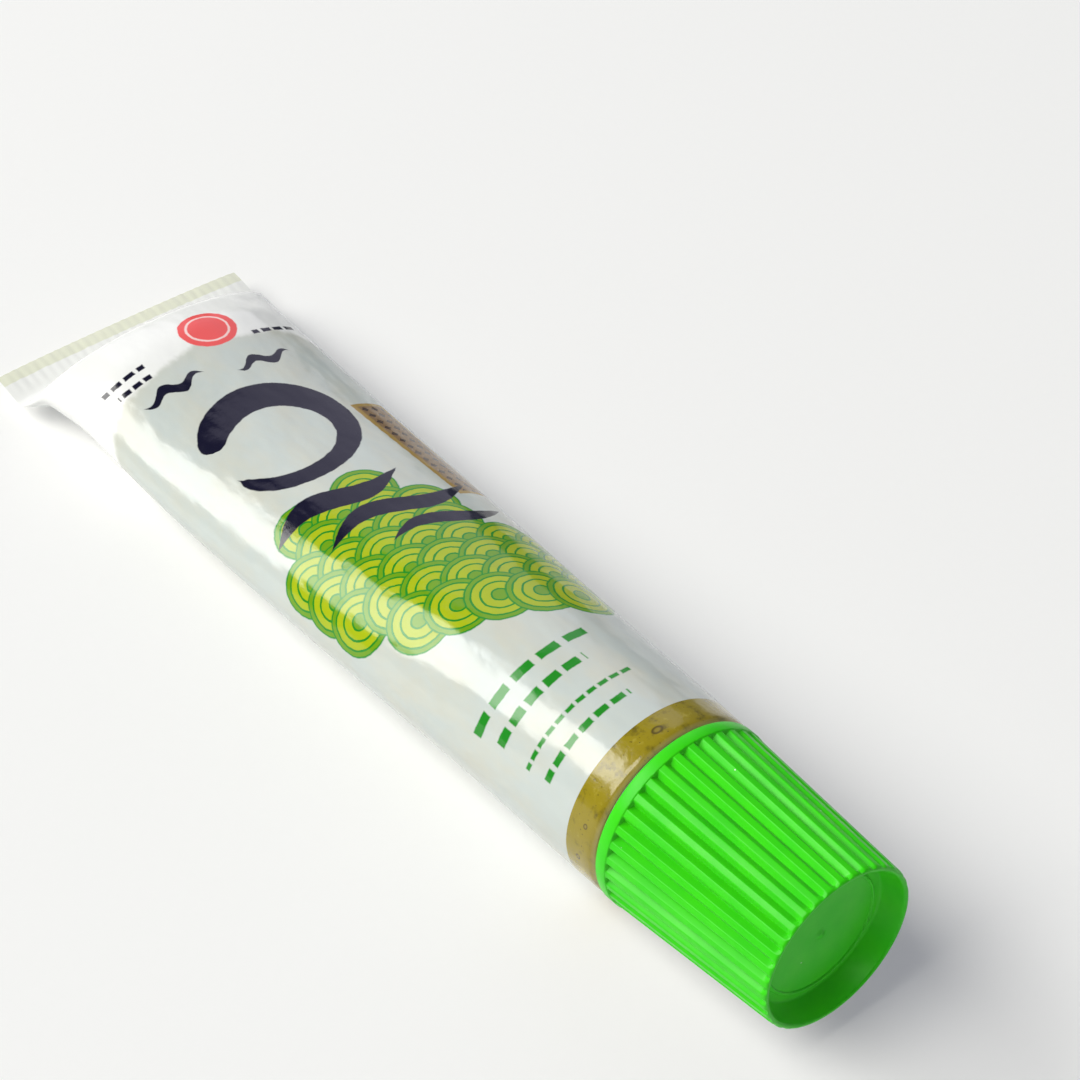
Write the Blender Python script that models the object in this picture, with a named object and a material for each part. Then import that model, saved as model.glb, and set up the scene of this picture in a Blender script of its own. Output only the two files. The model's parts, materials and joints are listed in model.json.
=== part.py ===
"""A squeeze tube of wasabi paste lying on its side, with a ribbed screw cap.

Every piece is drawn in the tube's own frame: +X runs along the tube's axis from the sealed tail to
the cap, the rear edge of the cap's rim is at x = 0, +Y runs along the tail seam and +Z points up out
of the printed face. An empty on that axis tips the whole tube until its underside lies level, and
puts the middle of its footprint on the world's origin. Lengths are written in millimetres and become
metres as the meshes are made.
"""

import math

import bmesh
import bpy
from mathutils import Vector

MM = 0.001

# Sleeve: a laminate tube, round at the shoulder and pressed flat at the tail
SLEEVE_RADIUS = 11.9
SLEEVE_WALL = 0.45
SLEEVE_LENGTH = 114.5
SLEEVE_FRONT = -0.35
SEAL_LENGTH = 4.8
SEAL_HALF_THICKNESS = 0.45
TAIL_HEIGHT = 2.9
TAIL_BLEND = 15.0
HIP_START = 34.0
# Distance from the tail and half the sleeve's thickness there
THICKNESS_KNOTS = (
    (0.0, SEAL_HALF_THICKNESS),
    (SEAL_LENGTH, SEAL_HALF_THICKNESS),
    (10.8, 5.2),
    (18.0, 6.35),
    (31.0, 6.5),
    (60.0, 8.1),
    (88.0, 10.25),
    (SLEEVE_LENGTH, SLEEVE_RADIUS),
)

# The tube leans on its underside, which lifts the cap's end of the axis
LEAN = math.radians(5.6)

# Head: shoulder, threaded neck and nozzle, moulded in one and welded inside the sleeve
HEAD_SKIRT_RADIUS = 11.1
HEAD_SKIRT_REAR = -2.6
HEAD_WALL = 1.2
NECK_RADIUS = 6.0
NECK_BORE = 4.6
NECK_REAR = 3.0
NECK_FRONT = 11.7
NOZZLE_BASE_RADIUS = 4.4
NOZZLE_TIP_RADIUS = 3.3
NOZZLE_BORE = 1.9
NOZZLE_FRONT = 19.3

# Thread: one right-hand start on the neck, and its partner inside the cap
PITCH = 3.0
THREAD_HEIGHT = 0.8
NECK_THREAD_START = 4.2
NECK_THREAD_TURNS = 2.0
CAP_THREAD_TURNS = 2.0
THREAD_CLEARANCE = 0.3
THREAD_ROOT = 1.6
THREAD_CREST = 0.8
THREAD_EMBED = 0.3

# Cap
CAP_LENGTH = 25.0
CAP_RADIUS = 12.0
CAP_LIP_RADIUS = 10.3
CAP_LIP_WALL = 0.7
CAP_COLLAR = 1.6
CAP_RIBS = 36
CAP_RIB_DEPTH = 0.75
CAP_RIB_FRONT = 23.4
CAP_SKIRT_WALL = 1.05
CAP_FLOOR = 22.3
CAP_FLOOR_THICKNESS = 1.2
CAP_FLOOR_RADIUS = 9.0
CAP_BEAD_RADIUS = 7.6
CAP_BEAD_HEIGHT = 0.3
CHIMNEY_REAR = 3.6
CHIMNEY_RADIUS = 8.3
CHIMNEY_BORE = NECK_RADIUS + THREAD_HEIGHT + THREAD_CLEARANCE

# Small pieces between the nozzle and the cap
LINER_THICKNESS = 0.9
LINER_RADIUS = 6.6
FOIL_THICKNESS = 0.12
FOIL_RADIUS = 3.25
CONTACT_GAP = 0.3

# Paste
PASTE_REAR = 14.5
PASTE_NOSE = 8.0

ROUND_STEPS = 48
SLEEVE_STEPS = 44


def clear_scene():
    for obj in list(bpy.data.objects):
        bpy.data.objects.remove(obj, do_unlink=True)


def finish(name, colour, roughness, metallic=0.0):
    """A Principled material from a linear colour, a roughness and a metallic value."""
    material = bpy.data.materials.new(name)
    material.use_nodes = True
    shader = material.node_tree.nodes["Principled BSDF"]
    shader.inputs["Base Color"].default_value = (*colour, 1.0)
    shader.inputs["Roughness"].default_value = roughness
    shader.inputs["Metallic"].default_value = metallic
    material.diffuse_color = (*colour, 1.0)
    return material


def add_object(name, mesh_builder, material, parent=None):
    """One named object from a bmesh that the builder fills, in millimetres, on the tube's axis."""
    bm = bmesh.new()
    mesh_builder(bm)
    bmesh.ops.recalc_face_normals(bm, faces=bm.faces)
    bmesh.ops.scale(bm, vec=(MM, MM, MM), verts=bm.verts)
    mesh = bpy.data.meshes.new(name)
    bm.to_mesh(mesh)
    bm.free()
    mesh.shade_smooth()
    mesh.set_sharp_from_angle(angle=math.radians(35))
    mesh.materials.append(material)
    obj = bpy.data.objects.new(name, mesh)
    bpy.context.scene.collection.objects.link(obj)
    obj.parent = parent
    return obj


def interpolate(knots, at):
    """A smooth curve through (position, value) knots, by cubic Hermite pieces that never overshoot."""
    slopes = [(b[1] - a[1]) / (b[0] - a[0]) for a, b in zip(knots, knots[1:])]
    tangents = [slopes[0]]
    for before, after in zip(slopes, slopes[1:]):
        rising = before * after > 0
        tangents.append(2 * before * after / (before + after) if rising else 0.0)
    tangents.append(slopes[-1])
    for i, (start, end) in enumerate(zip(knots, knots[1:])):
        if at <= end[0] or i == len(slopes) - 1:
            span = end[0] - start[0]
            t = min(max((at - start[0]) / span, 0.0), 1.0)
            return (
                (1 + 2 * t) * (1 - t) ** 2 * start[1]
                + t * (1 - t) ** 2 * span * tangents[i]
                + t * t * (3 - 2 * t) * end[1]
                - t * t * (1 - t) * span * tangents[i + 1]
            )


def smooth_step(t):
    t = min(max(t, 0.0), 1.0)
    return t * t * (3 - 2 * t)


def ellipse_perimeter(a, b):
    h = ((a - b) / (a + b)) ** 2
    return math.pi * (a + b) * (1 + 3 * h / (10 + math.sqrt(4 - 3 * h)))


def half_width(half_thickness):
    """Half the width of a sleeve that keeps its round perimeter when it is pressed that thin."""
    low, high = half_thickness, math.pi / 2 * SLEEVE_RADIUS + 1
    for _ in range(40):
        middle = (low + high) / 2
        if ellipse_perimeter(middle, half_thickness) < 2 * math.pi * SLEEVE_RADIUS:
            low = middle
        else:
            high = middle
    return low


def sleeve_section(x, inset=0.0, thin=1.0):
    """(half width, half thickness, centre height) of the sleeve at x, drawn in by inset."""
    from_tail = SLEEVE_LENGTH + x
    thick = interpolate(THICKNESS_KNOTS, from_tail)
    underside = -SLEEVE_RADIUS - x * math.tan(LEAN)
    tail_rise = (TAIL_HEIGHT - SEAL_HALF_THICKNESS) * (1 - smooth_step(from_tail / TAIL_BLEND))
    centre = underside + thick + tail_rise
    return (half_width(thick) - inset) * thin, (thick - inset) * thin, centre


def add_ring(bm, x, wide, tall, centre, steps):
    turn = 2 * math.pi / steps
    return [
        bm.verts.new((x, wide * math.cos(i * turn), centre + tall * math.sin(i * turn)))
        for i in range(steps)
    ]


def bridge(bm, first, second):
    """Quads between two rings of the same count, or triangles from a ring to a point on the axis."""
    count = max(len(first), len(second))
    for i in range(count) if count > 1 else ():
        j = (i + 1) % count
        corners = [first[i % len(first)], first[j % len(first)]]
        corners += [second[j % len(second)], second[i % len(second)]]
        bm.faces.new(list(dict.fromkeys(corners)))


def skin(bm, rings, closed=False):
    for first, second in zip(rings, rings[1:]):
        bridge(bm, first, second)
    if closed:
        bridge(bm, rings[-1], rings[0])


def turned(bm, profile, steps):
    """Turns a closed (x, radius) outline round the axis. A third value sinks every other column."""
    rings = []
    for x, radius, *groove in profile:
        if radius == 0:
            rings.append([bm.verts.new((x, 0, 0))])
            continue
        ring = add_ring(bm, x, radius, radius, 0, steps)
        for vertex in ring[1::2] if groove else ():
            vertex.co.yz *= 1 - groove[0] / radius
        rings.append(ring)
    skin(bm, rings, closed=True)


def helical_ridge(bm, start, turns, section):
    """Sweeps a (x, radius) section along the thread's helix, and closes both ends."""
    count = round(turns * ROUND_STEPS)
    rings = []
    for i in range(count + 1):
        angle = 2 * math.pi * i / ROUND_STEPS
        advance = start + PITCH * i / ROUND_STEPS
        rings.append(
            [
                bm.verts.new((advance + x, r * math.cos(angle), r * math.sin(angle)))
                for x, r in section
            ]
        )
    skin(bm, rings)
    bm.faces.new(rings[0])
    bm.faces.new(rings[-1])


def ridge_section(root_radius, outwards):
    """The thread's trapezoid, standing on root_radius and let into the wall behind it."""
    foot = root_radius - outwards * THREAD_EMBED
    top = root_radius + outwards * THREAD_HEIGHT
    root, crest = THREAD_ROOT / 2, THREAD_CREST / 2
    return [(-root, foot), (-crest, top), (crest, top), (root, foot)]


def build_sleeve(bm):
    """Outer skin from the open front to the sealed tail, and the cavity's skin back to the front."""
    front = (SLEEVE_FRONT, -0.55, -0.9, -1.4)
    tail = -SLEEVE_LENGTH
    body = [front[-1] + (tail + HIP_START - front[-1]) * i / 8 for i in range(1, 9)]
    hip = [tail + s for s in (28, 23, 19, 16, 13.5, 11, 9, 7.4, 6.2, SEAL_LENGTH)]
    turned_in = {front[0]: 0.55, front[1]: 0.27, front[2]: 0.09}
    outer = []
    inner = []
    for x in (*front, *body, *hip, tail):
        wide, tall, centre = sleeve_section(x, turned_in.get(x, 0.0))
        outer.append(add_ring(bm, x, wide, tall, centre, SLEEVE_STEPS))
        if tall > 2 * SLEEVE_WALL:
            section = (wide - SLEEVE_WALL, tall - SLEEVE_WALL, centre)
            inner.append(add_ring(bm, x, *section, SLEEVE_STEPS))
    skin(bm, outer)
    skin(bm, inner)
    bridge(bm, outer[0], inner[0])
    bm.faces.new(outer[-1])
    bm.faces.new(inner[-1])


def build_head(bm):
    """Skirt, conical shoulder, neck and tapering nozzle, with one bore right through."""
    slope_top = NECK_RADIUS + 0.5
    outer = [
        (HEAD_SKIRT_REAR, HEAD_SKIRT_RADIUS),
        (-1.2, HEAD_SKIRT_RADIUS),
        (-0.6, HEAD_SKIRT_RADIUS - 0.4),
        (-0.35, HEAD_SKIRT_RADIUS - 1.0),
        (NECK_REAR - 0.5, slope_top),
        (NECK_REAR, NECK_RADIUS),
        (NECK_FRONT - 0.5, NECK_RADIUS),
        (NECK_FRONT, NECK_RADIUS - 0.5),
        (NECK_FRONT, NOZZLE_BASE_RADIUS),
        (NOZZLE_FRONT - 0.4, NOZZLE_TIP_RADIUS),
        (NOZZLE_FRONT, NOZZLE_TIP_RADIUS - 0.4),
    ]
    inner = [
        (NOZZLE_FRONT, NOZZLE_BORE),
        (NECK_FRONT + 0.4, NOZZLE_BORE + 0.5),
        (NECK_FRONT - HEAD_WALL, NECK_BORE),
        (NECK_REAR - HEAD_WALL, NECK_BORE),
        (-0.35 - HEAD_WALL, HEAD_SKIRT_RADIUS - 1.0 - HEAD_WALL / 2),
        (HEAD_SKIRT_REAR, HEAD_SKIRT_RADIUS - 0.9),
    ]
    turned(bm, outer + inner, ROUND_STEPS)


def build_neck_thread(bm):
    section = ridge_section(NECK_RADIUS, 1)
    helical_ridge(bm, NECK_THREAD_START, NECK_THREAD_TURNS, section)


def build_cap_thread(bm):
    """The partner ridge, half a pitch on, so that it runs in the middle of the neck's groove."""
    section = ridge_section(CHIMNEY_BORE, -1)
    helical_ridge(bm, NECK_THREAD_START + PITCH / 2, CAP_THREAD_TURNS, section)


def cap_outside(x):
    """The radius over the ribs' crests: straight from the collar to the lip."""
    return CAP_RADIUS + (CAP_LIP_RADIUS - CAP_RADIUS) * x / CAP_LENGTH


def build_cap(bm):
    """Collar, ribbed skirt, thin lip, dished floor with a bead, and the threaded chimney inside."""
    inside = CAP_FLOOR - CAP_FLOOR_THICKNESS
    skirt = CAP_SKIRT_WALL + CAP_RIB_DEPTH
    rib_rear = CAP_COLLAR + 0.15
    outer = [
        (0.0, CAP_RADIUS - 0.15),
        (0.2, CAP_RADIUS),
        (CAP_COLLAR, cap_outside(0.2)),
        (rib_rear, cap_outside(rib_rear), CAP_RIB_DEPTH),
        (CAP_RIB_FRONT - 2.0, cap_outside(CAP_RIB_FRONT - 2.0), CAP_RIB_DEPTH * 0.8),
        (CAP_RIB_FRONT, cap_outside(CAP_RIB_FRONT)),
        (CAP_LENGTH - 0.5, CAP_LIP_RADIUS + 0.02),
        (CAP_LENGTH, CAP_LIP_RADIUS - 0.2),
    ]
    dish = [
        (CAP_LENGTH, CAP_LIP_RADIUS - CAP_LIP_WALL),
        (CAP_FLOOR - 0.3, CAP_FLOOR_RADIUS),
        (CAP_FLOOR - 0.3, CAP_BEAD_RADIUS + 0.35),
        (CAP_FLOOR + CAP_BEAD_HEIGHT, CAP_BEAD_RADIUS + 0.1),
        (CAP_FLOOR + CAP_BEAD_HEIGHT, CAP_BEAD_RADIUS - 0.1),
        (CAP_FLOOR, CAP_BEAD_RADIUS - 0.35),
        (CAP_FLOOR, 0.0),
    ]
    underneath = [
        (inside, 0.0),
        (inside, CHIMNEY_BORE),
        (CHIMNEY_REAR, CHIMNEY_BORE),
        (CHIMNEY_REAR, CHIMNEY_RADIUS - 0.25),
        (inside - 0.8, CHIMNEY_RADIUS),
        (inside - 0.8, cap_outside(inside) - skirt),
        (0.0, CAP_RADIUS - skirt),
    ]
    turned(bm, outer + dish + underneath, 2 * CAP_RIBS)


def build_paste(bm):
    """Paste that fills the sleeve, the shoulder and the neck, rounded off where the headspace starts."""
    inset = SLEEVE_WALL + CONTACT_GAP
    rear = -SLEEVE_LENGTH + PASTE_REAR
    rings = []
    for i in range(1, 5):
        t = i / 5
        x = rear + PASTE_NOSE * t * t
        swell = math.sqrt(1 - (1 - t * t) ** 2) ** 0.7
        rings.append(add_ring(bm, x, *sleeve_section(x, inset, swell), ROUND_STEPS))
    front = HEAD_SKIRT_REAR - CONTACT_GAP
    for i in range(9):
        x = rear + PASTE_NOSE + (front - rear - PASTE_NOSE) * i / 8
        rings.append(add_ring(bm, x, *sleeve_section(x, inset), ROUND_STEPS))
    throat = [
        (front + 0.1, HEAD_SKIRT_RADIUS - 0.9 - CONTACT_GAP - 0.4),
        (-0.35 - HEAD_WALL - CONTACT_GAP, HEAD_SKIRT_RADIUS - 1.4 - HEAD_WALL / 2 - CONTACT_GAP),
        (NECK_REAR - HEAD_WALL - CONTACT_GAP, NECK_BORE - CONTACT_GAP),
        (NECK_FRONT - HEAD_WALL - CONTACT_GAP, NECK_BORE - CONTACT_GAP),
        (NECK_FRONT + 0.4, NOZZLE_BORE + 0.5 - CONTACT_GAP),
        (NOZZLE_FRONT - CONTACT_GAP, NOZZLE_BORE - CONTACT_GAP),
    ]
    for x, radius in throat:
        rings.append(add_ring(bm, x, radius, radius, 0, ROUND_STEPS))
    skin(bm, rings)
    bm.faces.new(rings[0])
    bm.faces.new(rings[-1])


def build_foil(bm):
    rear = NOZZLE_FRONT + CONTACT_GAP / 2
    rim = [(rear, FOIL_RADIUS), (rear + FOIL_THICKNESS, FOIL_RADIUS)]
    turned(bm, [(rear, 0), *rim, (rear + FOIL_THICKNESS, 0)], ROUND_STEPS)


def build_liner(bm):
    front = CAP_FLOOR - CAP_FLOOR_THICKNESS - CONTACT_GAP
    rear = front - LINER_THICKNESS
    rim = [(rear, LINER_RADIUS - 0.15), (rear + 0.15, LINER_RADIUS), (front, LINER_RADIUS)]
    turned(bm, [(rear, 0), *rim, (front, 0)], ROUND_STEPS)


def join_thread(obj, ridge):
    """Unites the helical ridge with its wall. The ridge stays as a hidden helper."""
    ridge.hide_render = True
    ridge.display_type = "WIRE"
    union = obj.modifiers.new("thread", "BOOLEAN")
    union.operation = "UNION"
    union.solver = "EXACT"
    union.object = ridge


def stand_on_origin(axis, pieces):
    """Tips the axis until the underside is level, then centres the footprint and rests it on z = 0."""
    axis.rotation_euler = (0, -LEAN, 0)
    bpy.context.view_layer.update()
    corners = [piece.matrix_world @ v.co for piece in pieces for v in piece.data.vertices]
    low = Vector(min(c[i] for c in corners) for i in range(3))
    high = Vector(max(c[i] for c in corners) for i in range(3))
    middle = (low + high) / 2
    axis.location = (-middle.x, -middle.y, -low.z)


def main():
    clear_scene()
    axis = bpy.data.objects.new("tube_axis", None)
    bpy.context.scene.collection.objects.link(axis)
    cap_axis = bpy.data.objects.new("cap_axis", None)
    bpy.context.scene.collection.objects.link(cap_axis)
    cap_axis.parent = axis

    film = finish("laminate_film", (0.84, 0.87, 0.83), 0.22)
    natural = finish("natural_polyethylene", (0.86, 0.86, 0.82), 0.4)
    green = finish("green_polypropylene", (0.04, 0.66, 0.03), 0.38)
    foam = finish("liner_foam", (0.90, 0.90, 0.88), 0.7)
    foil = finish("aluminium_foil", (0.80, 0.81, 0.82), 0.3, metallic=1.0)
    paste = finish("wasabi_paste", (0.36, 0.33, 0.08), 0.35)

    head = add_object("tube_head", build_head, natural, axis)
    cap = add_object("screw_cap", build_cap, green, cap_axis)
    pieces = [
        add_object("tube_sleeve", build_sleeve, film, axis),
        head,
        add_object("foil_seal", build_foil, foil, axis),
        add_object("wasabi_paste", build_paste, paste, axis),
        add_object("cap_liner", build_liner, foam, cap_axis),
        cap,
    ]
    join_thread(head, add_object("neck_thread", build_neck_thread, natural, axis))
    join_thread(cap, add_object("cap_thread", build_cap_thread, green, cap_axis))
    stand_on_origin(axis, pieces)


main()
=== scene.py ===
"""Looks of a squeeze tube of wasabi paste that lies on its side with its cap on.

The printed sleeve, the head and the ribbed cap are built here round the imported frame; the paste, the
foil seal and the cap's liner keep their own meshes and get their finishes. Shapes are worked out in
the tube's own frame, in millimetres: +X from the sealed tail to the cap, with x = 0 at the rear edge
of the cap's rim, +Y along the tail seam and +Z out of the printed face. TUBE_FRAME puts them in the
row frame, in metres.
"""

import json
import math

import bmesh
import bpy
import numpy as np
from mathutils import Matrix, Vector, noise


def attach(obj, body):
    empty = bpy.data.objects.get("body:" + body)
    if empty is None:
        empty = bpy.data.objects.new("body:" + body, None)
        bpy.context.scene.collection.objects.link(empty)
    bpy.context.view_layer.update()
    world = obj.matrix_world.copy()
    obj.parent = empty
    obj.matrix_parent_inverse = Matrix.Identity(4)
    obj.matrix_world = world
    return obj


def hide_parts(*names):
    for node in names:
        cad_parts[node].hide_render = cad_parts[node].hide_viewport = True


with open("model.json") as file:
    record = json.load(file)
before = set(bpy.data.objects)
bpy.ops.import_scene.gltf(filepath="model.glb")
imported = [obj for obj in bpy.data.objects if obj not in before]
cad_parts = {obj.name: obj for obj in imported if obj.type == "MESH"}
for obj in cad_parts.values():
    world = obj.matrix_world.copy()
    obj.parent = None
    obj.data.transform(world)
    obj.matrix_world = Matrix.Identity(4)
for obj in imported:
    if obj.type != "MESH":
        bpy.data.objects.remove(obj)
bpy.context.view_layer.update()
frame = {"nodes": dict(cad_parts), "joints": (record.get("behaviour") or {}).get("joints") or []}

bl_info = {
    "name": "Squeeze tube with screw cap",
    "version": (1, 0, 0),
    "blender": (4, 5, 0),
    "location": "3D View > Sidebar > Squeeze Tube",
    "description": "Builds a printed laminate tube of paste with a ribbed screw cap",
    "category": "Object",
}

MM = 0.001
TURN = next(joint for joint in frame["joints"] if joint["name"] == "cap_turn")
RIM_CENTRE = Vector(TURN["pos_m"])
AXIS = Vector(TURN["axis"]).normalized()
ACROSS = Vector((0, 1, 0))
LEAN = math.asin(AXIS.z)
TUBE_FRAME = Matrix.Translation(RIM_CENTRE) @ Matrix(
    (AXIS, ACROSS, AXIS.cross(ACROSS))
).transposed().to_4x4() @ Matrix.Scale(MM, 4)

# Sleeve, in millimetres: distance from the tail and half the thickness there
SLEEVE_KNOTS = (
    (0.0, 0.45), (4.8, 0.45), (10.8, 5.2), (18.0, 6.35),
    (31.0, 6.5), (60.0, 8.1), (88.0, 10.25), (114.5, 11.9),
)
TAIL_RISE = 2.45
TAIL_BLEND = 15.0
FRONT_EDGE = -0.35
# How far the front edge is turned in, from the edge back
FRONT_ROLL = ((-0.35, 0.5), (-0.42, 0.36), (-0.55, 0.25), (-0.72, 0.15), (-0.95, 0.06), (-1.4, 0.0))
SLEEVE_COLUMNS = 288
SLEEVE_STEP = 0.8
# The inner skin: its gap behind the wall, and its rings from the front back
INSIDE_GAP = 0.15
INSIDE_RINGS = 42
INSIDE_STEP = 2.5
SEAL_RIB_PITCH = 1.3
SEAL_RIB_DEPTH = 0.06
# The seal's ribs fade out over a length, just before the seal ends
SEAL_RIB_STOP = 0.3
SEAL_RIB_FADE = 0.8
# Buckles of the film: depth, length along and round, and from the tail, where they rise and end
DENT_DEPTH = 0.22
DENT_ALONG = 22
DENT_ROUND = 7
DENT_RISE = (7, 10)
DENT_FALL = (108, 16)

# Print on the sleeve, in millimetres: across from the middle of the printed face, and from the tail
CIRCLE_STROKE = {
    "centre": (-1.5, 41.5),
    "radius": 8.6,
    "width": 2.6,
    "start": 205.0,
    # Share of the way round, and share of the full width there
    "thinning": (
        (0.0, 0.0), (0.04, 0.78), (0.2, 1.0), (0.5, 0.66),
        (0.78, 0.5), (0.86, 0.28), (0.9, 0.0), (1.0, 0.0),
    ),
}
WAVE_STROKES = (
    # middle across, from the tail, half length, rise, wavelength, half width
    (-3.5, 56.0, 9.5, 1.3, 17.0, 1.9),
    (1.5, 62.0, 10.5, 1.4, 19.0, 1.6),
    (5.0, 67.4, 8.0, 1.2, 17.0, 1.25),
    (-6.5, 25.0, 4.6, 0.7, 4.6, 0.9),
    (6.0, 27.0, 4.2, 0.7, 4.6, 0.85),
)
SCALE_RADIUS = 4.4
# Where scales are printed: middle across, from the tail, half sizes
SCALE_FIELD = ((-4.0, 68.0, 11.0, 12.5), (6.0, 80.0, 12.5, 9.0))
# Inks of one scale, from its middle out
SCALE_RINGS = (
    (0.0, "olive"), (0.2, "green"), (0.26, "lime"), (0.5, "green"),
    (0.56, "lime"), (0.76, "green"), (0.82, "olive"), (0.93, "green"),
)
RULES = (
    # middle across, from the tail, half length, half height, dash length
    (-6.0, 94.5, 9.5, 0.62, 3.1),
    (-7.0, 98.0, 7.5, 0.62, 2.3),
    (-5.5, 102.6, 8.5, 0.30, 1.3),
    (-6.5, 105.6, 7.0, 0.45, 1.9),
)
SMALL_MARKS = (
    (-10.5, 19.0, 3.4, 0.42, 1.7),
    (-10.0, 21.1, 2.6, 0.42, 1.4),
    (11.5, 21.5, 3.4, 0.40, 1.5),
)
# Of a dash's length: from one blank's middle to the next, and half a blank
DASH_SPACING = 0.62
DASH_GAP = 0.16
RED_DOT = ((3.4, 18.0), 3.9)
GOLD_TAG = ((12.6, 52.0), 2.7, 11.5)
TAG_BORDER = 0.7
INK_EDGE = 0.16
LAP_HALF_WIDTH = 0.9

# Seen through the clear band: bubbles in the paste, as across, from the tail, and half sizes; each gets
# painted shade and a painted highlight
BUBBLES = (
    (-1.2, 112.1, 0.75, 0.5),
    (-14.8, 112.3, 0.35, 0.3),
    (9.3, 111.5, 0.3, 0.25),
    (-19.5, 111.8, 0.4, 0.3),
)
EDGE_GLOW = (113.6, 114.15)
# Shreds in the paste, per millimetre
SHRED_SCALE = 1.3

# Head, in millimetres: distance from the rim and radius, outside and then back along the bore
HEAD_OUTSIDE = (
    (-2.6, 11.1), (-1.2, 11.1), (-0.8, 11.0), (-0.55, 10.75), (-0.4, 10.4), (-0.3, 10.05),
    (2.35, 6.75), (2.6, 6.45), (2.85, 6.2), (3.1, 6.0),
)
NECK_FRONT = 11.7
NOZZLE_FRONT = 19.3
NOZZLE_BASE_RADIUS = 4.4
NOZZLE_BORE = 1.9
HEAD_WALL = 1.2
THREAD_ROOT = 1.6
THREAD_CREST = 0.8
THREAD_EMBED = 0.3
THREAD_CLEARANCE = 0.3
THREAD_STEPS = 72
# The ridge's corners, by the inputs that place them, and its height towards its ends
THREAD_CORNERS = (
    ("Height", "Crest", 0.5),
    ("Height", "Crest", -0.5),
    ("Embed", "Root", -0.5),
    ("Embed", "Root", 0.5),
)
THREAD_ENDS = ((0.0, 0.45), (0.07, 1.0), (0.93, 1.0), (1.0, 0.45))
ROUND_COLUMNS = 144

# Cap, in millimetres
LIP_WALL = 0.7
SKIRT_WALL = 1.05
FLOOR = 22.3
FLOOR_SUNK = 0.3
FLOOR_THICKNESS = 1.2
FLOOR_RADIUS = 9.0
BEAD_RADIUS = 7.6
BEAD_HEIGHT = 0.34
BEAD_HALF_WIDTH = 0.24
GATE_RADIUS = 0.42
GATE_HEIGHT = 0.12
CHIMNEY_REAR = 3.6
CHIMNEY_RADIUS = 8.3
RIB_COLUMNS = (0.0, 0.1, 0.155, 0.18, 0.2, 0.22, 0.24, 0.34, 0.45, 0.475)
RIB_COLUMNS += (0.5,) + tuple(1 - s for s in reversed(RIB_COLUMNS))
# Share of a groove's slope that is rounded at the crest and at the bottom
EDGE_ROUND = 0.12
# The grooves run out towards the lip over this length: depth left at its end, and what it gains
RUN_OUT = 0.9
RUN_OUT_SHARES = (0.35, 0.45)
RUN_OUT_STEPS = 8
GROOVE_STEPS = 24
WELD = 0.002

# Lights: azimuth and elevation in degrees, distance and the size of the box in metres
KEY = (-55.0, 34.0, 3.0, 1.7, 1.25)
PANEL = (-118.0, 26.0, 3.6, 2.6, 2.2)
SIDE = (-18.0, 50.0, 3.0, 1.4, 2.4)
LIGHT_TARGET = Vector((0.0, 0.0, 0.01))
CAMERA_TARGET = Vector((0.0025, 0.0141, 0.012))
TABLE_HALF = 2.5
SMOOTH_ANGLE = 50


def srgb(code):
    """A hex colour as linear RGBA."""
    channels = [int(code[i : i + 2], 16) / 255 for i in (1, 3, 5)]
    return (*(c / 12.92 if c <= 0.04045 else ((c + 0.055) / 1.055) ** 2.4 for c in channels), 1.0)


def length(name, millimetres, description):
    """A length that a user may change, given in millimetres."""
    return bpy.props.FloatProperty(
        name=name,
        description=description,
        default=millimetres * MM,
        min=0.0,
        precision=5,
        unit="LENGTH",
    )


def colour(name, code, description):
    """A colour that a user may change, given as sRGB hex."""
    return bpy.props.FloatVectorProperty(
        name=name, description=description, default=srgb(code), size=4, min=0, max=1, subtype="COLOR"
    )


def bearing(name, degrees, description):
    """An angle that a user may change, given in degrees."""
    return bpy.props.FloatProperty(
        name=name, description=description, default=math.radians(degrees), unit="ROTATION"
    )


def amount(name, default, description, **limits):
    """A plain number, a share or a power that a user may change."""
    return bpy.props.FloatProperty(name=name, description=description, default=default, **limits)


class TubeSleeveSettings(bpy.types.PropertyGroup):
    radius: length("Radius", 11.9, "Outside radius of the round end")
    wall: length("Wall", 0.45, "Thickness of the laminate")
    length: length("Length", 114.5, "From the sealed tail to the cap's rim")
    seal: length("Seal", 4.8, "Length of the flat sealed strip at the tail")
    bare_strip: length("Bare strip", 1.9, "Unprinted part of the sealed strip")
    clear_band: length("Clear band", 4.55, "Unprinted ring next to the cap, through which the paste shows")
    headspace: length("Headspace", 19.5, "From the tail to where the paste starts")
    white: colour("White", "#F1F2F0", "Printed white over the empty tail")
    filled_white: colour("Filled white", "#C6CECB", "Printed white with the paste behind it")
    stain: colour("Stain", "#CDCDC0", "Paste that shows yellowish through the white")
    bare: colour("Bare film", "#E4E6D3", "Unprinted film at the seal")
    navy: colour("Navy ink", "#080524", "Bold strokes")
    lime: colour("Lime ink", "#A9B90A", "Light green of the scales")
    olive: colour("Olive ink", "#6E9E05", "Darker green of the scales")
    green: colour("Green ink", "#1E8A1E", "Outlines and rules")
    red: colour("Red ink", "#F0524F", "Round mark at the tail")
    gold: colour("Gold ink", "#A88A45", "Tag at the side")


class TubePasteSettings(bpy.types.PropertyGroup):
    ochre: colour("Paste", "#95850F", "Main colour of the grated paste")
    dark: colour("Dark shreds", "#625608", "Darker shreds and bubbles")
    light: colour("Light shreds", "#B1A23C", "Paler shreds")


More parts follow.
